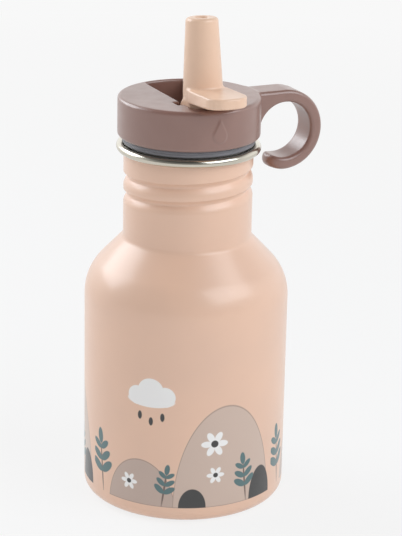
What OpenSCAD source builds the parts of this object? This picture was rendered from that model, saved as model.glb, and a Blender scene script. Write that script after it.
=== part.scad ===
// Child's steel drinking bottle with screw lid, carry hook and flip-up straw spout.
// Origin: bottle axis at the base plane. +Z up, -Y towards the thumb tab, +X towards the carry hook.

/* [Bottle] */
// outside diameter of the barrel
body_d = 70; // [66:0.5:76]
// height of the straight barrel, where the shoulder starts
body_h = 71.5; // [60:0.5:90]
// radius of the shoulder's curve
shoulder_r = 18; // [14:0.5:20]
// outside diameter of the neck
neck_d = 43.88; // [42:0.1:46]
// height of the neck, from the shoulder's edge to the middle of the lip bead
neck_h = 31.25; // [29:0.25:40]
// radius of the bead's section
lip_r = 1.41; // [1:0.05:1.6]
// thickness of the steel
steel_t = 0.7; // [0.5:0.05:0.9]

/* [Neck thread] */
// rise of the screw thread in one turn
thread_pitch = 6; // [5:0.25:7]
// depth of the groove rolled into the neck
thread_depth = 1.3; // [1:0.05:1.5]
// turns of groove in the neck
neck_turns = 2; // [1.5:0.25:2.25]
// turns of thread on the plug
plug_turns = 1.25; // [1:0.25:1.5]

/* [Lid] */
// outside diameter of the lid
lid_d = 48.2; // [47:0.1:52]
// height of the lid above the gasket
lid_h = 13.5; // [13:0.1:16]
// thickness of the gasket you see between lid and lip
gasket_h = 2.3; // [2:0.1:3]
// outside diameter of the gasket
gasket_d = 45; // [44:0.1:46]
// depth of the recess that takes the spout
recess_h = 10.3; // [10.2:0.1:10.8]
// gap between the spout and each side of the recess
side_gap = 0.3; // [0.3:0.05:0.6]
// thickness of the lid's rim behind the recess
rim_t = 2.2; // [1.8:0.1:3]
// depth of the plug's skirt below the lid
plug_h = 22.7; // [22:0.1:26]

/* [Carry hook] */
// radius of the hook's opening
hook_r = 9.75; // [9:0.05:11]
// thickness of the hook's band
hook_t = 4.2; // [3:0.1:5]
// width of the hook's band
hook_w = 11; // [8:0.1:13]
// how far round the hook's band curls, from its top
hook_arc = 197; // [185:1:230]

/* [Spout] */
// distance of the spout's hinge in front of the lid's middle
hinge_y = 10.9; // [9.5:0.1:11.5]
// diameter of the hinge trunnions
pin_d = 3.5; // [3:0.1:4.5]
// diameter of the spout at its foot
spout_d = 13.3; // [12:0.1:13.6]
// diameter of the spout at its mouth
mouth_d = 10.8; // [10:0.1:12]
// gap between the folded spout's mouth and the rim
tip_gap = 1.45; // [0.5:0.05:3]
// backward lean of the raised spout
spout_lean = 4.5; // [0:0.5:6]
// width of the thumb tab
tab_w = 14.2; // [12.6:0.1:15]
// reach of the thumb tab in front of the hinge
tab_l = 22.5; // [18:0.1:26]
// thickness of the thumb tab at its front
tab_t = 3.5; // [2.5:0.1:4]
// gap between the root of the thumb tab and the lid
tab_gap = 0.45; // [0.4:0.05:3]

/* [Straw] */
// outside diameter of the straw
straw_d = 7; // [6:0.1:7.5]
// gap between the straw and the base
straw_gap = 5; // [3:0.5:10]

/* [Hidden] */
$fn = 96;
e = 0.01;                                // overlap of the pieces of one solid
play = 0.05;                             // radial play of pins and of what is pushed in
fit = 0.1;                               // radial clearance of what is set in
body_r = body_d / 2;
neck_r = neck_d / 2;
foot_r = 4;                              // corner radius at the base
arc_end = 43.5;                          // slope where the shoulder's curve turns straight
sh_x = body_r - shoulder_r + shoulder_r * cos(arc_end);
sh_z = body_h + shoulder_r * sin(arc_end);
neck_z = sh_z + (sh_x - neck_r) / tan(arc_end);   // where the straight slope meets the neck
neck_fil = 2.5;
neck_tan = neck_fil * tan(arc_end / 2);
bore_r = neck_r - steel_t;               // inside of the neck
lip_z = neck_z + neck_h;
lip_x = bore_r + lip_r;                  // inner end of the flattened bead
lip_flat = 0.42;
thread_z = lip_z - 17.9;                 // middle of the groove where it starts
thread_a = 90;                           // angle at which it starts
thread_gap = 0.45;                       // radial gap between crests and roots
plug_r = bore_r - thread_depth - thread_gap;
ridge_r = bore_r - thread_gap;           // crest of the plug's thread
skirt_t = 2;
plate_r = plug_r + 1.5;
seat_gap = 0.25;                         // silicone to lip, before the lid is tightened
gasket_z = lip_z + lip_r + seat_gap;
gasket_rib = 0.3;
lid_z = gasket_z + gasket_h;             // underside of the lid
lid_top = lid_z + lid_h;
lid_r = lid_d / 2;
lid_edge = 0.9;                          // rounding of the lid's lower edge
lid_brow = 1.2;                          // rounding of its upper edge
floor_z = lid_top - recess_h;            // floor of the recess
floor_t = 1.2;
plate_z = floor_z - floor_t;             // top of the plug's plate
floor_gap = 0.45;                        // folded spout to floor
hinge_z = floor_z + spout_d / 2 + floor_gap;
recess_w = spout_d + 2 * side_gap;
spout_l = hinge_y + lid_r - rim_t - tip_gap;      // hinge to mouth
foot = spout_d / 2 - 0.3;                // radius of the spout's rounded foot
trunnion_w = recess_w / 2 - 0.2;         // half width over the bosses of the trunnions
trunnion_r = 4.6;                        // radius of those bosses
pin_l = 2.5;                             // reach of each trunnion's socket into the lid
snap_w = 4.4;                            // way in to the sockets, from above
snap_y = 0.5;                            // how far that way reaches in front of the hinge
straight_l = 7.5;                        // straight part of the spout, before its taper
mouth_round = 1.2;
tab_z = lid_top - hinge_z + tab_gap;
tab_round = 6.2;                         // corners of the thumb tab
tab_under = tan(5.9);                    // rise of its underside towards its front
tab_over = tan(2.75);                    // rise of its top
port_r = 2.2;                            // drinking bore
boss_r = 5.6;
boss_h = 10.7;
sleeve_r = 4;
seal_r = 5.5;
seal_z = plate_z - 1.1;
seal_top = hinge_z - spout_d / 2 - 0.3;  // clear of the folded spout
vent_r = 3;
vent_y = 11;
valve_l = 7;                             // reach of the valve below the lid
collar_h = 1.4;
grip_l = 9;                              // how far the straw's socket reaches down from the boss
hook_x = lid_r + hook_r + 0.15;
hook_z = lid_top - 0.3 - hook_t - hook_r;
web_in = 5;                              // root of the hook's web inside the lid
straw_top = lid_z - boss_h;
straw_low = steel_t + straw_gap;
straw_t = 0.75;
straw_cut = 25;                          // slant of the straw's foot

// points of an arc about [x, z]
function arc(x, z, r, a0, a1, n) = [for (i = [0:n]) let (a = a0 + (a1 - a0) * i / n)
    [x + r * cos(a), z + r * sin(a)]];

// shell's outline, offset inwards by t
function shell_line(t) = concat(
    arc(body_r - foot_r, foot_r, foot_r - t, -90, 0, 8),
    arc(body_r - shoulder_r, body_h, shoulder_r - t, 0, arc_end, 12),
    arc(neck_r + neck_fil, neck_z + neck_tan, neck_fil + t, 180 + arc_end, 180, 5));

// section of a thread, as [radius, height] points: half heights h0 to h2, given as shares of the
// pitch, at its open side r0, halfway at r1 and at its crest r2
function thread_sec(r0, h0, r1, h1, r2, h2) = let (
    out = r2 > r0 ? -1 : 1,
    sec = [[r0, -h0], [r0, h0], [r1, h1], [r2, h2], [r2, -h2], [r1, -h1]])
    [for (p = sec) [p[0], out * p[1] * thread_pitch]];

// a ridge or groove wound round the axis, whose ends sink back towards the radius root
module screw(sec, root, turns, z0) {
    per = 24;
    n = round(turns * per);
    m = len(sec);
    fade = 4;
    pts = [for (i = [0:n])
        let (a = thread_a + 360 * i / per, k = 0.15 + 0.85 * min(1, i / fade, (n - i) / fade))
        for (p = sec) let (r = root + (p[0] - root) * k)
            [r * cos(a), r * sin(a), z0 + thread_pitch * i / per + p[1]]];
    faces = concat(
        [for (i = [0:n - 1]) for (j = [0:m - 1]) let (k = (j + 1) % m)
            [i * m + j, i * m + k, (i + 1) * m + k]],
        [for (i = [0:n - 1]) for (j = [0:m - 1]) let (k = (j + 1) % m)
            [i * m + j, (i + 1) * m + k, (i + 1) * m + j]],
        [[for (j = [m - 1:-1:0]) j]], [[for (j = [0:m - 1]) n * m + j]]);
    polyhedron(pts, faces, convexity = 8);
}

// one-piece steel bottle, its thread rolled into the neck
module bottle_shell() {
    mid_r = neck_r - steel_t / 2;
    color([0.87, 0.74, 0.66]) difference() {
        union() {
            rotate_extrude() {
                polygon(concat(
                    [[0, 0]], shell_line(0), [[neck_r, lip_z], [bore_r, lip_z]],
                    [for (i = [len(shell_line(0)) - 1:-1:0]) shell_line(steel_t)[i]],
                    [[0, steel_t]]));
                translate([lip_x, lip_z]) circle(lip_r, $fn = 24);
                translate([lip_x + lip_flat, lip_z]) circle(lip_r, $fn = 24);
                translate([lip_x, lip_z - lip_r]) square([lip_flat, 2 * lip_r]);
            }
            screw(thread_sec(mid_r, 0.4, bore_r - thread_depth / 2, 0.24, bore_r - thread_depth, 0.1),
                mid_r, neck_turns, thread_z);
        }
        screw(thread_sec(neck_r + 0.8, 0.45, neck_r - thread_depth / 2, 0.21,
            neck_r - thread_depth, 0.07), neck_r + 0.8, neck_turns, thread_z);
    }
}

// silicone ring between lid and lip, with two fine ribs round its edge
module lid_gasket() {
    r = gasket_d / 2;
    rib = gasket_h / 4;
    color([0.4, 0.4, 0.42]) rotate_extrude() polygon(concat(
        [[plug_r + fit, gasket_z], [r - gasket_rib, gasket_z]],
        [for (z = [rib, 2.5 * rib]) each [[r, gasket_z + z], [r, gasket_z + z + rib / 2],
            [r - gasket_rib, gasket_z + z + rib]]],
        [[r, lid_z - rib / 4], [r, lid_z], [plug_r + fit, lid_z]]));
}

// straight-sided recess for the spout, closed at the back by the rim
module recess() {
    front = hinge_y + spout_d / 2 + 0.5;
    intersection() {
        translate([-recess_w / 2, -front, floor_z]) cube([recess_w, front + lid_r, recess_h + 1]);
        translate([0, 0, floor_z - 1]) cylinder(r = lid_r - rim_t, h = recess_h + 3);
    }
}

// hook moulded on the lid's side: a web that flows out of the lid, and a curled band with a round tip
module hook() {
    mid_r = hook_r + hook_t / 2;
    tip_a = 90 - hook_arc;
    tip_r = hook_w / 2 + 0.3;
    tip_x = hook_x + mid_r * cos(tip_a) - hook_t / 2;
    difference() {
        translate([hook_x, 0, hook_z]) rotate([90, 0, 0]) {
            rotate([0, 0, tip_a]) rotate_extrude(angle = hook_arc) translate([hook_r, -hook_w / 2]) band();
            rotate([0, 0, tip_a]) translate([mid_r, 0, 0]) rotate_extrude($fn = 32) intersection() {
                translate([-hook_t / 2, -hook_w / 2]) band();
                translate([0, -hook_w]) square([hook_t, 2 * hook_w]);
            }
        }
        difference() {
            translate([tip_x - 1, -hook_w, hook_z - 2 * hook_r]) cube([tip_r + 1, 2 * hook_w, 2 * hook_r]);
            translate([tip_x + tip_r, 0, hook_z - 3 * hook_r]) cylinder(r = tip_r, h = 4 * hook_r);
        }
    }
    difference() {
        translate([lid_r - web_in, -hook_w / 2, lid_z + lid_edge])
            cube([hook_x - lid_r + web_in + e, hook_w, hook_z + hook_r + hook_t - lid_z - lid_edge]);
        translate([hook_x, 0, hook_z]) rotate([90, 0, 0])
            cylinder(r = hook_r, h = hook_w + 2, center = true);
    }
}

// section of the band, its corners rounded
module band() {
    c = 1;
    for (x = [c, hook_t - c]) for (y = [c, hook_w - c]) translate([x, y]) circle(c, $fn = 16);
    translate([c, 0]) square([hook_t - 2 * c, hook_w]);
    translate([0, c]) square([hook_t, hook_w - 2 * c]);
}

// moulded lid with recess, hinge sockets and carry hook
module lid_cap() {
    socket_w = recess_w + 2 * pin_l;
    color([0.56, 0.46, 0.43]) difference() {
        union() {
            rotate_extrude() polygon(concat(
                [[0, lid_z]], arc(lid_r - lid_edge, lid_z + lid_edge, lid_edge, -90, 0, 6),
                arc(lid_r - lid_brow, lid_top - lid_brow, lid_brow, 0, 90, 6), [[0, lid_top]]));
            hook();
        }
        recess();
        // seat of the plug's plate
        translate([0, 0, lid_z - 1]) cylinder(r = plate_r + fit, h = plate_z - lid_z + 1);
        // cored pockets each side of the recess
        for (s = [0, 1]) mirror([s, 0, 0]) intersection() {
            translate([0, 0, lid_z]) cylinder(r = plate_r - 1, h = lid_h - 2);
            translate([socket_w / 2 + 1.9, -lid_r, lid_z]) cube([lid_r, lid_d, lid_h]);
        }
        // hinge sockets: the trunnions drop in behind them and snap forwards
        translate([0, -hinge_y, hinge_z]) rotate([0, 90, 0])
            cylinder(r = pin_d / 2 + play, h = socket_w, center = true);
        translate([-socket_w / 2, -hinge_y - snap_y, hinge_z]) cube([socket_w, snap_w, recess_h]);
        // straw seat and air hole through the floor
        translate([0, -hinge_y, plate_z - 1]) cylinder(r = seal_r + fit, h = floor_t + 2);
        translate([0, vent_y, plate_z - 1]) cylinder(r = 1, h = floor_t + 2);
    }
}

// threaded plug with straw boss and vent hole
module lid_plug() {
    low = lid_z - plug_h;
    color([0.9, 0.88, 0.85]) difference() {
        union() {
            translate([0, 0, lid_z]) cylinder(r = plate_r, h = plate_z - lid_z);
            difference() {
                translate([0, 0, low]) cylinder(r = plug_r, h = plug_h + e);
                translate([0, 0, low - 1]) cylinder(r = plug_r - skirt_t, h = plug_h + 1);
            }
            translate([0, -hinge_y, lid_z - boss_h]) cylinder(r = boss_r, h = boss_h + e);
            screw(thread_sec(plug_r - 0.5, 0.28, plug_r + (ridge_r - plug_r) / 2, 0.16, ridge_r, 0.08),
                plug_r - 0.5, plug_turns, thread_z + thread_pitch / 2);
        }
        translate([0, -hinge_y, seal_z]) cylinder(r = seal_r + fit, h = plate_z);
        translate([0, -hinge_y, lid_z - 2]) cylinder(r = port_r, h = lid_h);
        translate([0, -hinge_y, lid_z - boss_h - 1]) cylinder(r = sleeve_r + play, h = boss_h - 0.2);
        translate([0, vent_y, lid_z - 1]) cylinder(r = vent_r, h = lid_h);
    }
}

// rounded foot, tapered tube, thumb tab and trunnions
module spout() {
    start = -1.5;
    color([0.9, 0.77, 0.69]) translate([0, -hinge_y, hinge_z]) difference() {
        union() {
            intersection() {
                translate([0, 0, -2 * foot]) cylinder(r = foot + 0.1, h = 2 * foot - 0.5);
                rotate([0, 90, 0]) cylinder(r = foot, h = 2 * spout_d, center = true);
            }
            rotate([0, 90, 0]) cylinder(r = trunnion_r, h = 2 * trunnion_w, center = true);
            rotate([0, 90, 0]) cylinder(r = pin_d / 2, h = recess_w + 2 * pin_l - 0.5, center = true);
            rotate([-spout_lean, 0, 0]) rotate_extrude() polygon(concat(
                [[0, start], [spout_d / 2, start], [spout_d / 2, straight_l]],
                arc(mouth_d / 2 - mouth_round, spout_l - mouth_round, mouth_round, 4, 90, 8),
                [[0, spout_l]]));
            tab();
        }
        rotate([-spout_lean, 0, 0]) cylinder(r = port_r, h = spout_l + 1);
        translate([0, 0, -foot - 1]) cylinder(r = port_r - 0.1, h = foot + 2);
    }
}

// thumb tab: a tongue with a round front, thicker towards its root, which is as narrow as the recess
module tab() {
    root = 0.8;
    side = 3.3;                          // how far in front of the hinge the tongue widens
    corner_y = -tab_l + tab_round;
    reach = tab_l + 1;
    top_z = tab_z + tab_t + tab_l * (tab_under - tab_over);
    high = 4 * tab_t;
    intersection() {
        union() {
            translate([-tab_w / 2, corner_y, 0]) cube([tab_w, -corner_y - side, high]);
            translate([-trunnion_w, corner_y, 0]) cube([2 * trunnion_w, -corner_y - root, high]);
            translate([tab_round - tab_w / 2, -tab_l, 0]) cube([tab_w - 2 * tab_round, tab_round, high]);
            for (s = [-1, 1]) translate([s * (tab_w / 2 - tab_round), corner_y, 0])
                cylinder(r = tab_round, h = high);
        }
        rotate([90, 0, 90]) linear_extrude(2 * tab_w, center = true) polygon([[0, tab_z], [0, top_z],
            [-reach, top_z + reach * tab_over], [-reach, tab_z + reach * tab_under]]);
    }
}

// silicone seat under the spout's foot
module spout_seal() {
    flare = 0.4;
    color([0.42, 0.42, 0.44]) translate([0, -hinge_y, 0]) difference() {
        translate([0, 0, seal_z]) cylinder(r = seal_r, h = seal_top - seal_z);
        translate([0, 0, seal_z - 1]) cylinder(r = port_r, h = lid_h);
        translate([0, 0, seal_top - flare]) cylinder(r1 = port_r, r2 = port_r + 1, h = flare + e);
    }
}

// duckbill valve in the vent hole
module vent_valve() {
    stem = 2.4;
    bill = 4;
    tip = 0.5;
    bill_z = lid_z - valve_l + bill;
    color([0.85, 0.85, 0.84]) translate([0, vent_y, 0]) difference() {
        union() {
            translate([0, 0, lid_z - e]) cylinder(r = vent_r - play, h = plate_z - lid_z);
            translate([0, 0, lid_z - 1]) cylinder(r = vent_r + 1, h = 1);
            translate([0, 0, bill_z]) cylinder(r = stem, h = valve_l - bill - 1 + e);
            intersection() {
                translate([0, 0, bill_z - bill]) cylinder(r = stem, h = bill + e);
                rotate([90, 0, 90]) linear_extrude(3 * stem, center = true) polygon([[-stem, bill_z + e],
                    [-tip, bill_z - bill], [tip, bill_z - bill], [stem, bill_z + e]]);
            }
        }
        translate([0, 0, bill_z]) cylinder(r = 1.1, h = lid_h);
        translate([-1.6, -0.1, bill_z - bill - 1]) cube([3.2, 0.2, bill + 2]);
    }
}

// sleeve that holds the straw in the plug's boss
module straw_socket() {
    wall = 1.3;
    color([0.85, 0.85, 0.84]) translate([0, -hinge_y, straw_top]) difference() {
        union() {
            translate([0, 0, -e]) cylinder(r = sleeve_r, h = boss_h - 1.2 + e);
            translate([0, 0, -collar_h]) cylinder(r = boss_r, h = collar_h);
            translate([0, 0, -grip_l]) cylinder(r = straw_d / 2 + wall, h = grip_l - 1);
        }
        translate([0, 0, -grip_l - 1]) cylinder(r = straw_d / 2 + play, h = grip_l + 1);
        translate([0, 0, -1]) cylinder(r = port_r, h = boss_h + 2);
    }
}

// straw, its foot cut aslant
module straw() {
    color([0.93, 0.9, 0.86]) translate([0, -hinge_y, straw_low]) difference() {
        cylinder(r = straw_d / 2, h = straw_top - straw_low);
        translate([0, 0, -1]) cylinder(r = straw_d / 2 - straw_t, h = straw_top);
        translate([-straw_d, 0, -straw_d / 2]) rotate([straw_cut, 0, 0])
            cube([2 * straw_d, 2 * straw_d, straw_d / 2]);
    }
}

bottle_shell();
lid_gasket();
lid_cap();
lid_plug();
spout();
spout_seal();
vent_valve();
straw_socket();
straw();
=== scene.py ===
"""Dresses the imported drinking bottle: powder-coated steel, moulded lid with carry hook, flip-up spout."""

import math

import bpy
import numpy as np
from mathutils import Matrix, Vector


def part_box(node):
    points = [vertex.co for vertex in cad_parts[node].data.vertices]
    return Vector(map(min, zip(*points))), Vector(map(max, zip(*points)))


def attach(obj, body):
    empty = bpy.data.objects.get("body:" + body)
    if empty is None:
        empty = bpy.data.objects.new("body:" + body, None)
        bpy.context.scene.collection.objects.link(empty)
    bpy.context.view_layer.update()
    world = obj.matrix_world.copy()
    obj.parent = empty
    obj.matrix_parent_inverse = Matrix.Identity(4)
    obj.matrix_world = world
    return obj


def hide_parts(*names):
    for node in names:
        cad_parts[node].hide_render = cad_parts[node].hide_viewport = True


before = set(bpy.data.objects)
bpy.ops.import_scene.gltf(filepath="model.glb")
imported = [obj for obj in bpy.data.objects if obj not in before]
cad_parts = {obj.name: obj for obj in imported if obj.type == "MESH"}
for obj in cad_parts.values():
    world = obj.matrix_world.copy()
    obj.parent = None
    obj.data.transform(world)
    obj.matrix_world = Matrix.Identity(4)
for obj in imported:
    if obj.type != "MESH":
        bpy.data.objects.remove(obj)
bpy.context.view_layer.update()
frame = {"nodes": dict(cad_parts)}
nodes = frame["nodes"]
MM = 0.001


def top_of(node):
    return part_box(node)[1] / MM


def low_of(node):
    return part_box(node)[0] / MM


# ---------------------------------------------------------------- sizes, in millimetres

PLUG_H = 22.7
LID_H = 13.5
BODY_R = top_of("bottle_shell").x
LIP_TOP = top_of("bottle_shell").z
LID_Z = low_of("lid_plug").z + PLUG_H
LID_TOP = LID_Z + LID_H
LID_R = top_of("lid_cap").y
GASKET_Z = low_of("lid_gasket").z
GASKET_R = top_of("lid_gasket").x

# steel bottle
FOOT_R = 4.0
BODY_H = 71.5
SHOULDER_R = 18.0
SHOULDER_END = math.radians(43.5)
NECK_R = 21.94
NECK_FILLET = 2.5
STEEL = 0.7
LIP_R = 1.41
LIP_FLAT = 0.42
LIP_Z = LIP_TOP - LIP_R
LIP_CURL = math.radians(-125)
COAT_TOP = LIP_Z - LIP_R * 0.9  # the powder coat ends just under the lip

# thread rolled into the neck, climbing from the back
THREAD_Z = LIP_Z - 17.9
THREAD_PITCH = 6.0
THREAD_TURNS = 2.0
THREAD_DEPTH = 1.3
THREAD_FADE = 0.16
GROOVE_UP = 1.9
GROOVE_DOWN = 2.8
GROOVE_EASE = 1.7
PLAIN_NECK = (96.0, 102.5)
ROLLED_NECK = (102.6, 120.4)
ABOVE_THREAD = 121.4

# spout, from its hinge
HINGE_Y = -10.9
SPOUT_FOOT_R = 6.65
SPOUT_MOUTH_R = 5.4
SPOUT_STRAIGHT = 7.5
SPOUT_TIP = 1.2
SPOUT_LEAN = math.radians(4.5)
PORT_R = 2.2
PIN_R = 1.75
PIN_GAP = 0.25
BOSS_R = 4.6

# recess in the lid and the sockets in its walls
SIDE_GAP = 0.3
FLOOR_GAP = 0.45
MOUTH_GAP = 1.45
FLOOR_T = 1.2
RIM_T = 2.2
RECESS_HALF = SPOUT_FOOT_R + SIDE_GAP
RECESS_FLOOR = LID_TOP - 10.3
PLATE_TOP = RECESS_FLOOR - FLOOR_T
RIM_IN = LID_R - RIM_T
HINGE_Z = RECESS_FLOOR + SPOUT_FOOT_R + FLOOR_GAP
SPOUT_L = RIM_IN - HINGE_Y - MOUTH_GAP
SOCKET_L = 2.5
SOCKET_GAP = 0.15
SNAP_FROM, SNAP_TO = -0.5, 3.9
RECESS_BACK = 0.5

# underside of the lid
PLATE_R = 21.1
POCKET_R = 20.0
POCKET_X = 11.4
POCKET_H = 11.5
PORT_HOLE_R = 5.6
VENT_HOLE_Y = 11.0
VENT_HOLE_R = 1.0
HOLES_UP = 2

# carry hook
HOOK_R = 9.75
HOOK_T = 4.2
HOOK_HALF = 5.5
HOOK_OUT = 0.15
HOOK_UNDER_TOP = 0.3
HOOK_X = LID_R + HOOK_R + HOOK_OUT
HOOK_Z = LID_TOP - HOOK_UNDER_TOP - HOOK_T - HOOK_R
HOOK_END = math.radians(90 - 197)
WEB_INTO_LID = -3
WEB_LOW = 0.9

# thumb tab
TAB_L = 22.5
TAB_HALF = 7.1
TAB_CORNER = 6.2
TAB_T = 3.5
TAB_GAP = 0.45
TAB_LOW = LID_TOP - HINGE_Z + TAB_GAP
TAB_UNDER = math.tan(math.radians(5.9))
TAB_OVER = math.tan(math.radians(2.75))
TAB_HIGH = TAB_LOW + TAB_T + TAB_L * (TAB_UNDER - TAB_OVER)
TAB_ROOT = 0.8
TAB_SIDE = 3.3
TAB_STRAIGHT = 12

# water drop in relief on the lid
DROP_R = 2.5
DROP_TIP = 5.5
DROP_Z = 5.3
DROP_RELIEF = 0.3
DROP_EDGE = 0.5

# the camera looks from in front of the thumb tab, a little to the side away from the hook
TURN = math.radians(-25.5)
CAMERA_AZIMUTH = -math.pi / 2 + TURN


# ---------------------------------------------------------------- mesh helpers

def new_object(name, verts_mm, faces):
    """A smooth-shaded object from vertices in millimetres."""
    mesh = bpy.data.meshes.new(name)
    verts = [tuple(c * MM for c in v) for v in verts_mm]
    mesh.from_pydata(verts, [], [tuple(int(i) for i in f) for f in faces])
    mesh.validate()
    mesh.polygons.foreach_set("use_smooth", [True] * len(mesh.polygons))
    obj = bpy.data.objects.new(name, mesh)
    bpy.context.scene.collection.objects.link(obj)
    return obj


def arc(cx, cz, r, a0, a1, n):
    """Points on an arc round (cx, cz), from angle a0 to a1 in n steps."""
    return [(cx + r * math.cos(a0 + (a1 - a0) * i / n), cz + r * math.sin(a0 + (a1 - a0) * i / n))
            for i in range(n + 1)]


def lathe(name, outline, segments, shift=None, closed=True):
    """Turns an outline of (r, z) points about the axis. shift(angle, r, z) may move a point's radius.

    Returns the object and, for each face, the index of the outline's point where it starts.
    """
    verts = []
    rings = []
    for i, (r, z) in enumerate(outline):
        if r < 1e-6:
            rings.append([len(verts)] * segments)
            verts.append((0.0, 0.0, z))
            continue
        ring = []
        for s in range(segments):
            a = 2 * math.pi * s / segments
            rr = r + (shift(a, r, z) if shift else 0.0)
            ring.append(len(verts))
            verts.append((rr * math.cos(a), rr * math.sin(a), z))
        rings.append(ring)
    faces = []
    starts = []
    pairs = list(zip(range(len(rings) - 1), range(1, len(rings))))
    if closed:
        pairs.append((len(rings) - 1, 0))
    for i, j in pairs:
        for s in range(segments):
            t = (s + 1) % segments
            quad = [rings[i][s], rings[i][t], rings[j][t], rings[j][s]]
            quad = [v for k, v in enumerate(quad) if v != quad[k - 1]]
            if len(quad) > 2:
                faces.append(quad)
                starts.append(i)
    return new_object(name, verts, faces), starts


SETTLE_TURNS = 6
SMOOTH_TURNS = 4
LEAST_SLOPE = 0.25
LONGEST_MOVE = 0.3


def settle(points, faces, sdf, step):
    """Evens out a mesh's points and moves them onto the surface, in turns."""
    eps = step * 0.25
    ends = np.concatenate([np.stack([faces[:, k], faces[:, (k + 1) % 4]], 1) for k in range(4)])
    ties = np.bincount(ends.ravel(), minlength=len(points))[:, None]
    for turn in range(SETTLE_TURNS):
        if turn < SMOOTH_TURNS:
            near = np.zeros_like(points)
            for k in (0, 1):
                for axis in range(3):
                    near[:, axis] += np.bincount(ends[:, k], points[ends[:, 1 - k], axis], len(points))
            points = points + 0.5 * (near / ties - points)
        x, y, z = points.T
        here = sdf(x, y, z)
        slope = np.stack([sdf(x + eps, y, z) - sdf(x - eps, y, z),
                          sdf(x, y + eps, z) - sdf(x, y - eps, z),
                          sdf(x, y, z + eps) - sdf(x, y, z - eps)], 1) / (2 * eps)
        size = np.maximum((slope ** 2).sum(1), LEAST_SLOPE)
        move = slope * (here / size)[:, None]
        length = np.linalg.norm(move, axis=1)
        move *= np.minimum(1.0, LONGEST_MOVE * step / np.maximum(length, 1e-9))[:, None]
        points = points - move
    return points


def surface_net(name, sdf, low, high, step):
    """A closed quad mesh of the surface where sdf(x, y, z), in millimetres, is 0.

    Each cell of the grid that the surface crosses gets a point, and each edge that crosses the
    surface gets a face between the four cells round it.
    """
    axes = [np.arange(a, b + step, step) for a, b in zip(low, high)]
    grid = np.meshgrid(*axes, indexing="ij")
    d = sdf(*grid)
    n = d.shape
    cells = tuple(k - 1 for k in n)
    total = np.zeros(cells + (3,))
    count = np.zeros(cells)
    for axis in range(3):
        others = [k for k in range(3) if k != axis]
        for oa in (0, 1):
            for ob in (0, 1):
                first = [slice(0, k) for k in cells]
                first[others[0]] = slice(oa, oa + cells[others[0]])
                first[others[1]] = slice(ob, ob + cells[others[1]])
                second = list(first)
                second[axis] = slice(1, 1 + cells[axis])
                d0 = d[tuple(first)]
                d1 = d[tuple(second)]
                cross = (d0 < 0) != (d1 < 0)
                t = np.where(cross, d0 / np.where(cross, d0 - d1, 1.0), 0.0)
                for k in range(3):
                    base = grid[k][tuple(first)]
                    value = base + (t * step if k == axis else 0.0)
                    total[..., k] += np.where(cross, value, 0.0)
                count += cross
    active = count > 0
    index = np.full(cells, -1)
    index[active] = np.arange(int(active.sum()))
    quads = []
    for axis in range(3):
        b, c = (axis + 1) % 3, (axis + 2) % 3
        first = [slice(1, k - 1) for k in n]
        first[axis] = slice(0, n[axis] - 1)
        second = list(first)
        second[axis] = slice(1, n[axis])
        inside0 = d[tuple(first)] < 0
        inside1 = d[tuple(second)] < 0
        where = np.argwhere(inside0 != inside1)
        flips = inside0[tuple(where.T)]
        offset = np.ones(3, int)
        offset[axis] = 0
        where = where + offset

        def cell(db, dc):
            at = where.copy()
            at[:, b] -= db
            at[:, c] -= dc
            return index[tuple(at.T)]

        q = np.stack([cell(1, 1), cell(0, 1), cell(0, 0), cell(1, 0)], 1)
        q[~flips] = q[~flips][:, ::-1]
        quads.append(q)
    faces = np.concatenate(quads)
    points = settle(total[active] / count[active][:, None], faces, sdf, step)
    return new_object(name, points.tolist(), faces.tolist())


def smin(a, b, k):
    """Union of two distances, blended over about k."""
    h = np.clip(0.5 + 0.5 * (b - a) / k, 0, 1)
    return b * (1 - h) + a * h - k * h * (1 - h)


def smax(a, b, k):
    """What two distances share, blended over about k."""
    return -smin(-a, -b, k)


# a distance that never counts in a maximum
FAR_INSIDE = -99.0


def rounded(a, b, r):
    """Where both a < 0 and b < 0, with the edge between them rounded to r."""
    u = a + r
    v = b + r
    return np.hypot(np.maximum(u, 0), np.maximum(v, 0)) + np.minimum(np.maximum(u, v), 0) - r


# ---------------------------------------------------------------- bottle

BASE_RINGS = (0.0, 8.0, 16.0, 24.0, 28.0)
BARREL_FROM = 8
BARREL_ROW = 4.0
OUTER_ROW = 0.2
INNER_ROW = 0.6
SHELL_SEGMENTS = 320


def shell_outline(t, row):
    """Outline of the shell, t inside its outer face, from the middle of the base up the neck.

    row is the height of a row of faces where the thread is rolled.
    """
    sh_x = BODY_R - SHOULDER_R + SHOULDER_R * math.cos(SHOULDER_END)
    sh_z = BODY_H + SHOULDER_R * math.sin(SHOULDER_END)
    neck_z = sh_z + (sh_x - NECK_R) / math.tan(SHOULDER_END)
    neck_top = neck_z + NECK_FILLET * math.tan(SHOULDER_END / 2)
    line = [(r, t) for r in BASE_RINGS]
    line += arc(BODY_R - FOOT_R, FOOT_R, FOOT_R - t, -math.pi / 2, 0, 12)
    line += [(BODY_R - t, z) for z in np.arange(BARREL_FROM, BODY_H - 1, BARREL_ROW)]
    line += arc(BODY_R - SHOULDER_R, BODY_H, SHOULDER_R - t, 0, SHOULDER_END, 20)
    line += arc(NECK_R + NECK_FILLET, neck_top, NECK_FILLET + t, math.pi + SHOULDER_END, math.pi, 10)
    line += [(NECK_R - t, z) for z in np.arange(*PLAIN_NECK, 1.0)]
    line += [(NECK_R - t, z) for z in np.arange(*ROLLED_NECK, row)]
    return line


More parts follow.
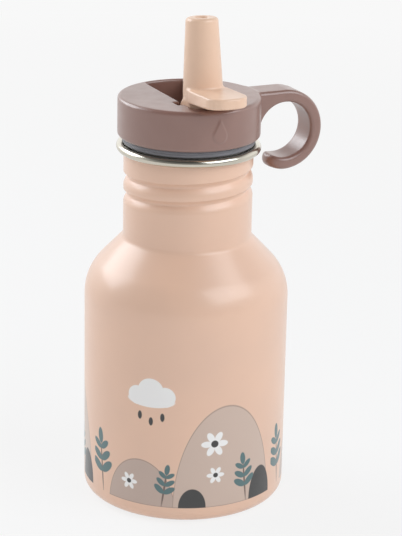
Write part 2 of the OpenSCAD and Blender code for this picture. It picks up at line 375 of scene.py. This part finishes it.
def groove(angle, z):
    """Depth of the rolled thread at an angle and height: steep above its bottom, slow below."""
    turn = ((angle - math.pi / 2) / (2 * math.pi)) % 1.0
    deep = 0.0
    for k in range(3):
        t = turn + k
        if t > THREAD_TURNS:
            continue
        fade = min(1.0, t / THREAD_FADE, (THREAD_TURNS - t) / THREAD_FADE)
        fade = fade * fade * (3 - 2 * fade)
        off = z - (THREAD_Z + THREAD_PITCH * t)
        if 0 <= off < GROOVE_UP:
            deep = max(deep, fade * THREAD_DEPTH * (1 - (off / GROOVE_UP) ** 2))
        elif -GROOVE_DOWN < off < 0:
            deep = max(deep, fade * THREAD_DEPTH * (1 + off / GROOVE_DOWN) ** GROOVE_EASE)
    return deep


def make_bottle():
    """The shell with its curled lip: coated up to the lip, bare steel on the lip and inside."""
    outer = shell_outline(0.0, OUTER_ROW)
    inner = shell_outline(STEEL, INNER_ROW)
    lip_in = NECK_R - STEEL + LIP_R
    bead = arc(lip_in + LIP_FLAT, LIP_Z, LIP_R, LIP_CURL, math.radians(90), 20)
    bead += arc(lip_in, LIP_Z, LIP_R, math.radians(90), math.radians(180), 10)
    outline = outer + [(NECK_R, ABOVE_THREAD), (NECK_R, COAT_TOP)] + bead + inner[::-1]
    coated = len(outer) + 1

    def shift(angle, r, z):
        rolled = r < NECK_R + 0.01 and PLAIN_NECK[1] < z < ABOVE_THREAD
        return -groove(angle, z) if rolled else 0.0

    obj, starts = lathe("bottle_skin", outline, SHELL_SEGMENTS, shift, closed=False)
    obj.data.polygons.foreach_set("material_index", [0 if i < coated else 1 for i in starts])
    return obj


# ---------------------------------------------------------------- lid

LID_TOP_EDGE = 1.3
LID_LOW_EDGE = 0.9
HOOK_EDGE = 1.4
HOOK_BLEND = 0.9
RECESS_CORNER = 0.8
RECESS_EDGE = 0.7
SOCKET_EDGE = 0.4
UNDER_EDGE = 0.3
LID_GRID = 0.4


def hook_sdf(x, y, z):
    """C-shaped band round the hook's opening and the web that joins it to the lid."""
    u = x - HOOK_X
    w = z - HOOK_Z
    rho = np.hypot(u, w)
    middle = (math.pi / 2 + HOOK_END) / 2
    span = (math.pi / 2 - HOOK_END) / 2
    pu = u * math.cos(middle) + w * math.sin(middle)
    pw = np.abs(-u * math.sin(middle) + w * math.cos(middle))
    along = np.arctan2(pw, pu)
    mid_r = HOOK_R + HOOK_T / 2
    ring = np.where(along < span, np.abs(rho - mid_r),
                    np.hypot(pu - mid_r * math.cos(span), pw - mid_r * math.sin(span))) - HOOK_T / 2
    web = np.maximum(np.maximum(WEB_INTO_LID - (x - LID_R), u),
                     np.maximum(LID_Z + WEB_LOW - z, w - HOOK_R - HOOK_T))
    web = np.maximum(web, HOOK_R - rho)
    tip_r = HOOK_HALF
    tip_x = HOOK_X + mid_r * math.cos(HOOK_END) - HOOK_T / 2 + tip_r
    tip = np.where((w < 0) & (x < tip_x), np.hypot(x - tip_x, y) - tip_r, FAR_INSIDE)
    return rounded(np.minimum(ring, web), np.maximum(np.abs(y) - HOOK_HALF, tip), HOOK_EDGE)


def drop_sdf(across, up):
    """Outline of a plain water drop, 5 wide and 8 high, about the middle of its round end."""
    lean = DROP_R / DROP_TIP
    cone = np.maximum(np.abs(across) * math.sqrt(1 - lean ** 2) + (up - DROP_TIP) * lean, DROP_R * lean - up)
    return np.minimum(np.hypot(across, up) - DROP_R, cone)


def lid_sdf(x, y, z):
    """The moulded lid: disc, relief, hook, recess, hinge sockets and the cored underside."""
    r = np.hypot(x, y)
    top = rounded(r - LID_R, z - LID_TOP, LID_TOP_EDGE)
    disc = rounded(top, LID_Z - z, LID_LOW_EDGE)
    drop = drop_sdf(x, z - LID_Z - DROP_Z)
    raised = np.where(y < 0, np.clip(0.5 - drop / DROP_EDGE, 0, 1), 0.0)
    disc = disc - DROP_RELIEF * raised
    body = smin(disc, hook_sdf(x, y, z), HOOK_BLEND)
    body = np.maximum(body, z - LID_TOP)

    ends = smax(r - RIM_IN, HINGE_Y - SPOUT_FOOT_R - RECESS_BACK - y, RECESS_CORNER)
    recess = smax(smax(np.abs(x) - RECESS_HALF, ends, RECESS_CORNER), RECESS_FLOOR - z, RECESS_CORNER)
    body = smax(body, -recess, RECESS_EDGE)

    dy = y - HINGE_Y
    dz = z - HINGE_Z
    way_in = np.maximum(np.maximum(SNAP_FROM - dy, dy - SNAP_TO), -dz)
    socket = np.minimum(np.hypot(dy, dz) - PIN_R - SOCKET_GAP, way_in)
    body = smax(body, -np.maximum(socket, np.abs(x) - RECESS_HALF - SOCKET_L), SOCKET_EDGE)

    seat = np.maximum(r - PLATE_R, z - PLATE_TOP)
    pocket = np.maximum(np.maximum(r - POCKET_R, POCKET_X - np.abs(x)), z - LID_Z - POCKET_H)
    body = smax(body, -np.minimum(seat, pocket), UNDER_EDGE)
    holes = np.minimum(np.hypot(x, dy) - PORT_HOLE_R, np.hypot(x, y - VENT_HOLE_Y) - VENT_HOLE_R)
    return smax(body, -np.maximum(holes, z - RECESS_FLOOR - HOLES_UP), UNDER_EDGE)


# ---------------------------------------------------------------- spout

TAB_EDGE = 0.7
TAB_BLEND = 0.9
FOOT_EDGE = 0.6
FOOT_BLEND = 0.4
BOSS_EDGE = 0.4
BOSS_BLEND = 1.0
MOUTH_EDGE = 0.8
TUBE_LOW = 1.5
TUBE_LOW_EDGE = 0.5
TAPER_EASE = 1.0
DRUM_TRIM = 0.3
FOOT_TOP = -0.5
INSIDE_WALLS = 0.2
SPOUT_TRIM = 0.15
TRIM_ENDS = 2.2
SPOUT_GRID = 0.3


def tab_sdf(x, y, z):
    """Thumb tab: a tongue with a round front that rises a little, thicker towards its root."""
    out = -y
    qx = np.abs(x) - TAB_HALF + TAB_CORNER
    qy = np.where(out > TAB_STRAIGHT, out - TAB_L + TAB_CORNER, FAR_INSIDE)
    plan = np.hypot(np.maximum(qx, 0), np.maximum(qy, 0)) + np.minimum(np.maximum(qx, qy), 0) - TAB_CORNER
    side = np.maximum(plan, TAB_SIDE - out)
    neck = np.maximum(np.abs(x) - RECESS_HALF + INSIDE_WALLS, out - TAB_L + TAB_CORNER)
    plan = np.maximum(np.minimum(side, neck), TAB_ROOT - out)
    low = TAB_LOW + TAB_UNDER * out
    high = TAB_HIGH + TAB_OVER * out
    return rounded(plan, np.abs(z - (low + high) / 2) - (high - low) / 2, TAB_EDGE)


def spout_sdf(x, y, z):
    """The spout: tapered tube, round foot, bosses, thumb tab, trunnions and the bore."""
    y = y - HINGE_Y
    z = z - HINGE_Z
    s = y * math.sin(SPOUT_LEAN) + z * math.cos(SPOUT_LEAN)
    across = y * math.cos(SPOUT_LEAN) - z * math.sin(SPOUT_LEAN)
    rad = np.hypot(x, across)
    taper = (SPOUT_FOOT_R - SPOUT_MOUTH_R) / (SPOUT_L - SPOUT_TIP - SPOUT_STRAIGHT)
    radius = SPOUT_FOOT_R - taper * 0.5 * (s - SPOUT_STRAIGHT + np.hypot(s - SPOUT_STRAIGHT, TAPER_EASE))
    tube = rounded(rad - radius, s - SPOUT_L, SPOUT_TIP)
    tube = rounded(tube, -TUBE_LOW - s, TUBE_LOW_EDGE)
    about = np.hypot(y, z)
    below = np.maximum(np.hypot(x, y) - SPOUT_FOOT_R + INSIDE_WALLS, z - FOOT_TOP)
    foot = rounded(about - SPOUT_FOOT_R + DRUM_TRIM, below, FOOT_EDGE)
    bosses = rounded(about - BOSS_R, np.abs(x) - RECESS_HALF + INSIDE_WALLS, BOSS_EDGE)
    pins = np.maximum(about - PIN_R, np.abs(x) - RECESS_HALF - SOCKET_L + PIN_GAP)
    body = smin(smin(smin(tube, foot, FOOT_BLEND), bosses, BOSS_BLEND), tab_sdf(x, y, z), TAB_BLEND)
    # the blends may not swell past the recess's walls, except at the tab
    body = np.maximum(body, np.abs(x) - RECESS_HALF + SPOUT_TRIM - 2 * np.maximum(-TRIM_ENDS - y, 0))
    body = np.minimum(body, pins)
    bore = np.where(z > 0, rad, np.hypot(x, y)) - PORT_R
    return smax(body, -bore, MOUTH_EDGE)


# ---------------------------------------------------------------- materials

class Nodes:
    """Builds a material's node tree from short calls."""

    def __init__(self, name, **inputs):
        self.material = bpy.data.materials.new(name)
        self.material.use_nodes = True
        self.tree = self.material.node_tree
        self.shader = self.tree.nodes["Principled BSDF"]
        for key, value in inputs.items():
            self.shader.inputs[key.replace("_", " ")].default_value = value

    def add(self, kind, **settings):
        node = self.tree.nodes.new(kind)
        for key, value in settings.items():
            setattr(node, key, value)
        return node

    def link(self, a, b):
        self.tree.links.new(a, b)

    def fill(self, socket, value):
        if isinstance(value, bpy.types.NodeSocket):
            self.link(value, socket)
        else:
            socket.default_value = value

    def math(self, op, a, b=0.0, c=0.0):
        node = self.add("ShaderNodeMath", operation=op)
        for socket, value in zip(node.inputs, (a, b, c)):
            self.fill(socket, value)
        return node.outputs[0]

    def mix(self, factor, a, b):
        node = self.add("ShaderNodeMix", data_type="RGBA")
        self.fill(node.inputs[0], factor)
        for socket, value in zip((node.inputs[6], node.inputs[7]), (a, b)):
            self.fill(socket, value if isinstance(value, bpy.types.NodeSocket) else rgb(value))
        return node.outputs[2]

    def coords(self):
        return self.add("ShaderNodeTexCoord").outputs["Object"]

    def noise(self, scale, detail=2.0, rough=0.5):
        node = self.add("ShaderNodeTexNoise")
        node.inputs["Scale"].default_value = scale
        node.inputs["Detail"].default_value = detail
        node.inputs["Roughness"].default_value = rough
        self.link(self.coords(), node.inputs["Vector"])
        return node.outputs[0]

    def bump(self, height, strength, distance):
        node = self.add("ShaderNodeBump")
        node.inputs["Strength"].default_value = strength
        node.inputs["Distance"].default_value = distance
        self.link(height, node.inputs["Height"])
        self.link(node.outputs[0], self.shader.inputs["Normal"])

    def ramp(self, value, numbers):
        """value carried from the range of the first two numbers to that of the last two."""
        node = self.add("ShaderNodeMapRange")
        self.link(value, node.inputs[0])
        for socket, number in zip(node.inputs[1:5], numbers):
            socket.default_value = number
        return node.outputs[0]

    def range(self, noise, low, high):
        """A noise, which lies mostly between 0.3 and 0.7, carried to the range low to high."""
        return self.ramp(noise, (0.3, 0.7, low, high))

    def colour(self, socket):
        self.link(socket, self.shader.inputs["Base Color"])


def linear(c):
    c = c / 255
    return c / 12.92 if c <= 0.04045 else ((c + 0.055) / 1.055) ** 2.4


def rgb(c):
    return (linear(c[0]), linear(c[1]), linear(c[2]), 1.0)


# each finish has its colour and a slightly darker one that drifts through it
PEACH, PEACH_DARK = (235, 194, 168), (229, 190, 166)
MAUVE, MAUVE_DARK = (141, 104, 93), (136, 99, 88)
SPOUT_PEACH, SPOUT_DARK = (238, 201, 174), (233, 196, 169)
STEEL_BRIGHT, STEEL_DARK = (209, 204, 191), (199, 194, 181)
CREAM, CREAM_DARK = (226, 221, 212), (220, 214, 205)
IVORY, IVORY_DARK = (236, 230, 220), (230, 224, 214)
GREY, GREY_DARK = (128, 127, 132), (119, 118, 123)
MILKY, MILKY_DARK = (222, 221, 217), (214, 213, 208)

# inks of the print
TAUPE, TAUPE_RIM = (204, 180, 165), (166, 142, 129)
ROSE_TAUPE, ROSE_TAUPE_RIM = (190, 167, 154), (160, 136, 124)
TEAL = (74, 108, 110)
CHARCOAL = (38, 37, 37)
STEM_BROWN = (108, 86, 76)
WHITE_INK = (242, 240, 238)
PAPER = (247, 247, 247)
PAPER_GLOW = (248, 248, 248)


def moulded(name, colour, dark, rough, gloss=0.55, clear=0.0):
    """Satin moulded plastic: a soft drift of colour, uneven sheen and very fine grain.

    clear is the weight of a thin clear layer on top.
    """
    n = Nodes(name, Roughness=rough, Specular_IOR_Level=gloss, Coat_Weight=clear, Coat_Roughness=0.3)
    cloud = n.noise(60.0, 3.0)
    n.colour(n.mix(n.range(cloud, 0.0, 1.0), colour, dark))
    grain = n.noise(900.0, 1.0, 0.5)
    n.link(n.range(n.noise(240.0, 2.0), rough - 0.04, rough + 0.05), n.shader.inputs["Roughness"])
    n.bump(grain, 0.1, 0.00003)
    return n.material


class Print:
    """Flat printed shapes round the bottle: u runs round it and v up it, both in millimetres.

    The print repeats round the bottle, with the middle of its first picture at the angle start.
    """

    REPEATS = 3
    EDGE = 0.1

    def __init__(self, nodes, start):
        self.n = nodes
        apart = nodes.add("ShaderNodeSeparateXYZ")
        nodes.link(nodes.coords(), apart.inputs[0])
        turn = nodes.math("ARCTAN2", apart.outputs[1], apart.outputs[0])
        pitch = 2 * math.pi * BODY_R / self.REPEATS
        way = nodes.math("MULTIPLY", nodes.math("SUBTRACT", turn, start), BODY_R)
        u = nodes.math("WRAP", way, pitch / 2, -pitch / 2)
        self.height = nodes.math("DIVIDE", apart.outputs[2], MM)
        flat = nodes.add("ShaderNodeCombineXYZ")
        nodes.link(u, flat.inputs[0])
        nodes.link(self.height, flat.inputs[1])
        self.place = flat.outputs[0]

    def oval(self, u, v, a, b, turn=0.0):
        """Distance outside an oval a by b millimetres in radius, about."""
        n = self.n
        fit = n.add("ShaderNodeMapping", vector_type="TEXTURE")
        n.link(self.place, fit.inputs["Vector"])
        fit.inputs["Location"].default_value = (u, v, 0)
        fit.inputs["Rotation"].default_value = (0, 0, math.radians(turn))
        fit.inputs["Scale"].default_value = (a, b, 1)
        size = n.add("ShaderNodeVectorMath", operation="LENGTH")
        n.link(fit.outputs[0], size.inputs[0])
        return n.math("MULTIPLY_ADD", size.outputs["Value"], min(a, b), -min(a, b))

    def union(self, parts):
        whole = parts[0]
        for part in parts[1:]:
            whole = self.n.math("MINIMUM", whole, part)
        return whole

    def ink(self, ground, shape, colour):
        """The ground's colour with the shape printed on it."""
        share = self.n.ramp(shape, (-self.EDGE, self.EDGE, 1.0, 0.0))
        return self.n.mix(share, ground, colour)


LEAF_ANGLE = 52
LEAF_W = 1.35
LEAF_L = 2.9
STEM_W = 0.35
FULL_SPRIG = 17
FIRST_PAIR, PAIR_STEP, PAIR_SHRINK = 0.38, 0.22, 0.12
TIP_LEAF_AT, TIP_LEAF_W, TIP_LEAF_L = 1.06, 0.07, 0.15
PETALS = 6
PETAL_OUT, PETAL_L, PETAL_W = 2.0, 1.5, 0.85
HEART = 0.95


def sprig(p, u, v, tall, lean):
    """A stem with three pairs of leaves and one at its tip: the stem's shape and the leaves'."""
    side = math.radians(lean)

    def along(way):
        return u + way * math.sin(side), v + way * math.cos(side)

    stem = p.oval(*along(tall / 2), STEM_W, tall / 2, -lean)
    leaves = []
    for k in range(3):
        cu, cv = along(tall * (FIRST_PAIR + PAIR_STEP * k))
        size = (1.0 - PAIR_SHRINK * k) * tall / FULL_SPRIG
        reach = LEAF_L * size
        for way in (-LEAF_ANGLE, LEAF_ANGLE):
            tilt = math.radians(way + lean)
            leaves.append(p.oval(cu + reach * math.sin(tilt), cv + reach * math.cos(tilt),
                                 LEAF_W * size, LEAF_L * size, -way - lean))
    leaves.append(p.oval(*along(tall * TIP_LEAF_AT), tall * TIP_LEAF_W, tall * TIP_LEAF_L, -lean))
    return stem, p.union(leaves)


def flower(p, u, v, size):
    """A daisy of six petals: the petals' shape and the heart's."""
    petals = []
    for k in range(PETALS):
        a = 2 * math.pi * k / PETALS
        petals.append(p.oval(u + PETAL_OUT * size * math.cos(a), v + PETAL_OUT * size * math.sin(a),
                             PETAL_L * size, PETAL_W * size, math.degrees(a)))
    return p.union(petals), p.oval(u, v, HEART * size, HEART * size)


# the print's motifs, in millimetres. An oval is (u, v, half width, half height).
GROUND = 6.0
RIM = 0.22
# hills and pebbles: oval, colour and the colour of the rim
HILLS = (((-15, 4, 12.5, 18), ROSE_TAUPE, ROSE_TAUPE_RIM),
         ((15.5, 4, 18.5, 38), TAUPE, TAUPE_RIM),
         ((30, 6, 5.0, 10.5), CHARCOAL, CHARCOAL),
         ((3.5, 6, 4.5, 6.5), CHARCOAL, CHARCOAL))
# (u, v, height, lean in degrees)
SPRIGS = ((-31, 6, 19, -5), (-7, 6, 13, 8), (23.5, 6, 15, -6))
# (u, v, size)
FLOWERS = ((11, 29, 1.35), (11.5, 17.5, 0.9), (-19, 13.5, 0.9))
# ovals of the cloud and of the drops under it
CLOUD = ((-16, 45.6, 3.4, 3.4), (-11.2, 47.6, 4.6, 4.6), (-6.2, 45.9, 3.6, 3.6), (-11.2, 44.2, 8.4, 2.4))
DROPS = ((-15, 38.6, 0.75, 1.5), (-11, 36.8, 0.75, 1.5), (-7, 38.6, 0.75, 1.5))


def coat_material():
    """Powder coat under a thin clear layer, with the print on it."""
    n = Nodes("powder_coat", Roughness=0.38, Specular_IOR_Level=0.7, Coat_Weight=0.55, Coat_Roughness=0.22)
    cloud = n.noise(35.0, 3.0)
    base = n.mix(n.range(cloud, 0.0, 1.0), PEACH, PEACH_DARK)
    p = Print(n, CAMERA_AZIMUTH)
    ground = n.math("SUBTRACT", GROUND, p.height)
    for oval, colour, rim in HILLS:
        shape = n.math("MAXIMUM", p.oval(*oval), ground)
        base = p.ink(p.ink(base, n.math("SUBTRACT", shape, RIM), rim), shape, colour)
    stems, leaves = zip(*(sprig(p, *place) for place in SPRIGS))
    base = p.ink(base, n.math("MAXIMUM", p.union(stems), ground), STEM_BROWN)
    base = p.ink(base, p.union(leaves), TEAL)
    petals, hearts = zip(*(flower(p, *place) for place in FLOWERS))
    base = p.ink(base, p.union([*petals, *(p.oval(*part) for part in CLOUD)]), WHITE_INK)
    n.colour(p.ink(base, p.union([*hearts, *(p.oval(*part) for part in DROPS)]), CHARCOAL))
    n.link(n.range(n.noise(500.0, 2.0), 0.36, 0.42), n.shader.inputs["Roughness"])
    n.bump(n.noise(2600.0, 2.0, 0.6), 0.1, 0.00004)
    return n.material


def steel_material():
    n = Nodes("polished_steel", Metallic=1.0, Roughness=0.16)
    n.colour(n.mix(n.range(n.noise(90.0), 0.0, 1.0), STEEL_BRIGHT, STEEL_DARK))
    n.link(n.range(n.noise(700.0), 0.13, 0.18), n.shader.inputs["Roughness"])
    return n.material


def silicone_material(name, colour, dark, rough):
    """Matt silicone with a fine uneven skin."""
    n = Nodes(name, Roughness=rough, Specular_IOR_Level=0.45)
    n.colour(n.mix(n.range(n.noise(120.0), 0.0, 1.0), colour, dark))
    n.link(n.range(n.noise(600.0), rough - 0.05, rough + 0.05), n.shader.inputs["Roughness"])
    n.bump(n.noise(2200.0), 0.1, 0.00004)
    return n.material


coat = coat_material()
steel = steel_material()
lid_plastic = moulded("lid_plastic", MAUVE, MAUVE_DARK, 0.34, gloss=0.95, clear=0.45)
spout_plastic = moulded("spout_plastic", SPOUT_PEACH, SPOUT_DARK, 0.33, gloss=0.8)
plug_plastic = moulded("plug_plastic", CREAM, CREAM_DARK, 0.45)
straw_plastic = moulded("straw_plastic", IVORY, IVORY_DARK, 0.3)
grey_silicone = silicone_material("grey_silicone", GREY, GREY_DARK, 0.42)
clear_silicone = silicone_material("clear_silicone", MILKY, MILKY_DARK, 0.4)


def dress(obj, *materials):
    """Gives an object its materials and keeps which face has which of them."""
    chosen = np.zeros(len(obj.data.polygons), dtype=np.int32)
    obj.data.polygons.foreach_get("material_index", chosen)
    obj.data.materials.clear()
    for m in materials:
        obj.data.materials.append(m)
    obj.data.polygons.foreach_set("material_index", np.minimum(chosen, len(materials) - 1))


# ---------------------------------------------------------------- pieces

bottle = make_bottle()
dress(bottle, coat, steel)
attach(bottle, "bottle")
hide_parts("bottle_shell")

lid = surface_net("lid_skin", lid_sdf, (-LID_R - 1, -LID_R - 1, HOOK_Z - HOOK_R - HOOK_T - 1),
                  (HOOK_X + HOOK_R + HOOK_T + 1, LID_R + 1, LID_TOP + 1), LID_GRID)
dress(lid, lid_plastic)
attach(lid, "lid")
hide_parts("lid_cap")

spout = surface_net("spout_skin", spout_sdf, (-10, HINGE_Y - TAB_L - 1, HINGE_Z - 7.5),
                    (10, HINGE_Y + 11, HINGE_Z + SPOUT_L + 1), SPOUT_GRID)
dress(spout, spout_plastic)
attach(spout, "spout")
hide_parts("spout")


GASKET_IN = 19.6
GASKET_CORNER = 0.45
WAVE_DEPTH = 0.16
WAVE_PITCH = 0.8
WAVE_FROM = 0.3
WAVE_ROW = 0.1
GASKET_BEVEL = 0.06
GASKET_SEGMENTS = 192


def make_gasket():
    """The silicone ring, with soft waves round its outside."""
    g = GASKET_R
    low, high = GASKET_Z, LID_Z
    corner = arc(g - GASKET_CORNER, low + GASKET_CORNER, GASKET_CORNER, -math.pi / 2, 0, 6)
    outline = [(GASKET_IN, low), (g - 1.0, low), (g - 0.5, low)] + corner[1:]
    for z in np.arange(low + 0.55, high - WAVE_ROW, WAVE_ROW):
        wave = max(0.0, math.cos(2 * math.pi * (z - low - WAVE_FROM) / WAVE_PITCH))
        outline.append((g - WAVE_DEPTH * wave * wave, z))
    outline += [(g, high - GASKET_BEVEL), (g - GASKET_BEVEL, high), (g - 1.0, high), (GASKET_IN, high)]
    return lathe("gasket_skin", outline, GASKET_SEGMENTS)[0]


gasket = make_gasket()
dress(gasket, grey_silicone)
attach(gasket, "gasket")
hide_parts("lid_gasket")

# the pieces inside keep the shapes of the CAD
for node, material in (("lid_plug", plug_plastic), ("spout_seal", grey_silicone),
                       ("vent_valve", clear_silicone), ("straw_socket", clear_silicone),
                       ("straw", straw_plastic)):
    dress(nodes[node], material)


# ---------------------------------------------------------------- floor, light and camera

CAMERA_DISTANCE = 706.84
CAMERA_DOWN = 0.3297
CAMERA_ROLL = 0.02
CAMERA_AIM = (4.972, 0.0, 80.07)
SENSOR = 36
FOCUS_IN_PIXELS = 2057.11
PHOTO_HEIGHT = 536

FLOOR_HALF = 3000
FLOOR_LOW = -0.1
NEAR_GLOW, FAR_GLOW = 0.86, 1.0
GLOW_FROM, GLOW_TO = 0.15, 0.8

# light from around, by the cosine of the angle to a direction: from, to, strength at each
FILL_UPWARDS = (0.1, 0.95, 0.72, 0.35)
GLOSS_FORWARDS = (-0.5, 0.8, 1.3, 0.28)
GLOSS_UPWARDS = (0.35, 0.8, 1.0, 0.2)

LIGHT_COLOUR = (0.95, 1.0, 1.05)
LIGHT_AIM = (0, 0, 90)


def make_floor():
    """Pale paper that glows to the camera far out and takes the object's shadow close by."""
    half, low = FLOOR_HALF, FLOOR_LOW
    corners = [(-half, -half, low), (half, -half, low), (half, half, low), (-half, half, low)]
    obj = new_object("floor", corners, [(0, 1, 2, 3)])
    n = Nodes("floor_paper", Roughness=0.9)
    n.shader.inputs["Base Color"].default_value = rgb(PAPER)
    out = n.tree.nodes["Material Output"]
    path = n.add("ShaderNodeLightPath")
    glow = n.add("ShaderNodeEmission")
    glow.inputs[0].default_value = rgb(PAPER_GLOW)
    far = n.add("ShaderNodeVectorMath", operation="LENGTH")
    n.link(n.coords(), far.inputs[0])
    share = n.ramp(far.outputs["Value"], (GLOW_FROM, GLOW_TO, NEAR_GLOW, FAR_GLOW))
    seen = n.math("MAXIMUM", path.outputs["Is Camera Ray"], path.outputs["Is Glossy Ray"])
    blend = n.add("ShaderNodeMixShader")
    n.link(n.math("MULTIPLY", seen, share), blend.inputs[0])
    n.link(n.shader.outputs[0], blend.inputs[1])
    n.link(glow.outputs[0], blend.inputs[2])
    n.link(blend.outputs[0], out.inputs[0])
    dress(obj, n.material)


def make_world():
    """White to the camera. As light it is softer from overhead, and its reflection is dimmer in front."""
    world = bpy.data.worlds.new("studio")
    bpy.context.scene.world = world
    world.use_nodes = True
    tree = world.node_tree
    back = tree.nodes["Background"]
    back.inputs[0].default_value = rgb(PAPER)
    path = tree.nodes.new("ShaderNodeLightPath")
    place = tree.nodes.new("ShaderNodeTexCoord")

    def towards(direction, numbers):
        """Goes from the third number to the fourth as the view turns towards a direction."""
        dot = tree.nodes.new("ShaderNodeVectorMath")
        dot.operation = "DOT_PRODUCT"
        tree.links.new(place.outputs["Generated"], dot.inputs[0])
        dot.inputs[1].default_value = direction
        ramp = tree.nodes.new("ShaderNodeMapRange")
        ramp.interpolation_type = "SMOOTHSTEP"
        tree.links.new(dot.outputs["Value"], ramp.inputs[0])
        for socket, number in zip(ramp.inputs[1:5], numbers):
            socket.default_value = number
        return ramp.outputs[0]

    def mix(factor, a, b):
        node = tree.nodes.new("ShaderNodeMix")
        tree.links.new(factor, node.inputs[0])
        tree.links.new(a, node.inputs[2])
        if isinstance(b, bpy.types.NodeSocket):
            tree.links.new(b, node.inputs[3])
        else:
            node.inputs[3].default_value = b
        return node.outputs[0]

    up = (0, 0, 1)
    front = (math.cos(CAMERA_AZIMUTH), math.sin(CAMERA_AZIMUTH), 0.0)
    fill = towards(up, FILL_UPWARDS)
    gloss = tree.nodes.new("ShaderNodeMath")
    gloss.operation = "MULTIPLY"
    tree.links.new(towards(front, GLOSS_FORWARDS), gloss.inputs[0])
    tree.links.new(towards(up, GLOSS_UPWARDS), gloss.inputs[1])
    light = mix(path.outputs["Is Glossy Ray"], fill, gloss.outputs[0])
    tree.links.new(mix(path.outputs["Is Camera Ray"], light, 1.0), back.inputs[1])


def area_light(name, size, energy, azimuth, height, distance):
    """A soft box at an azimuth seen from the camera: 0 is behind it, positive to its right."""
    data = bpy.data.lights.new(name, "AREA")
    data.shape = "RECTANGLE"
    data.size, data.size_y = size[0] * MM, size[1] * MM
    data.energy = energy
    data.color = LIGHT_COLOUR
    obj = bpy.data.objects.new(name, data)
    bpy.context.scene.collection.objects.link(obj)
    a = CAMERA_AZIMUTH + math.radians(azimuth)
    place = Vector((math.cos(a) * distance, math.sin(a) * distance, height)) * MM
    obj.location = place
    obj.rotation_euler = (Vector(LIGHT_AIM) * MM - place).to_track_quat("-Z", "Y").to_euler()


def make_camera():
    """The camera that the photo was fitted with."""
    data = bpy.data.cameras.new("camera")
    data.sensor_width = SENSOR
    data.lens = FOCUS_IN_PIXELS * SENSOR / PHOTO_HEIGHT
    data.clip_end = 20
    obj = bpy.data.objects.new("camera", data)
    bpy.context.scene.collection.objects.link(obj)
    out = Vector((0, -math.cos(CAMERA_DOWN), math.sin(CAMERA_DOWN)))
    place = (Vector(CAMERA_AIM) + out * CAMERA_DISTANCE) * MM
    pose = Matrix.Translation(place) @ Matrix.Rotation(math.pi / 2 - CAMERA_DOWN, 4, "X")
    pose = Matrix.Rotation(TURN, 4, "Z") @ pose @ Matrix.Rotation(CAMERA_ROLL, 4, "Z")
    obj.matrix_world = pose
    bpy.context.scene.camera = obj


make_floor()
make_world()
make_camera()
area_light("soft_box_right", size=(720, 500), energy=3.4, azimuth=60, height=600, distance=640)
area_light("soft_box_left", size=(600, 400), energy=2.75, azimuth=-118, height=470, distance=600)
bpy.context.scene.view_settings.view_transform = "Standard"
